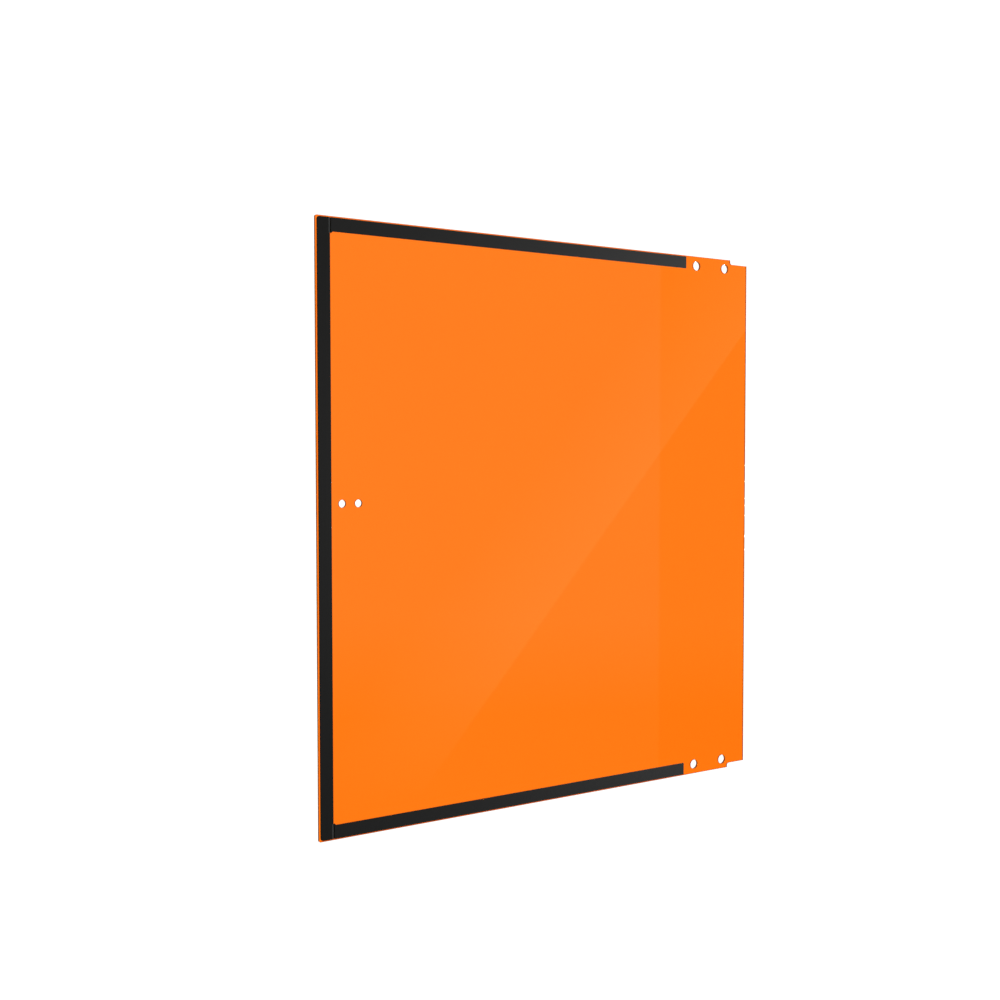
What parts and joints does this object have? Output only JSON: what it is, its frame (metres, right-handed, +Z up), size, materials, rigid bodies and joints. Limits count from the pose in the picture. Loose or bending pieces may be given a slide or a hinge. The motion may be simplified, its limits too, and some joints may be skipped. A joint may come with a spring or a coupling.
{
  "type": "tinted enclosure screen leaf",
  "caption": "Rigid orange-tinted transparent screen leaf with black sealing strips along three edges, hinge and handle screw holes, and notched corners on the hinge side.",
  "frame": {"origin": "on the plain rear face, half way between the two lower hinge holes", "axes": "+X towards the hinge side, +Y out of the plain rear face, +Z up; the sealing strips are on the front face, towards -Y"},
  "size_m": [0.415, 0.003, 0.45],
  "materials": {
    "tinted_sheet": "polished transparent orange-tinted plastic sheet with cut edges",
    "sealing_strip": "matt black with a fine closed-cell grain",
    "adhesive": "black acrylic adhesive film"
  },
  "bodies": {
    "root": {"panel": "tinted_sheet", "seal_strip_left": "sealing_strip", "seal_strip_top": "sealing_strip", "seal_strip_bottom": "sealing_strip", "adhesive_left": "adhesive", "adhesive_top": "adhesive", "adhesive_bottom": "adhesive"}
  },
  "joints": []
}
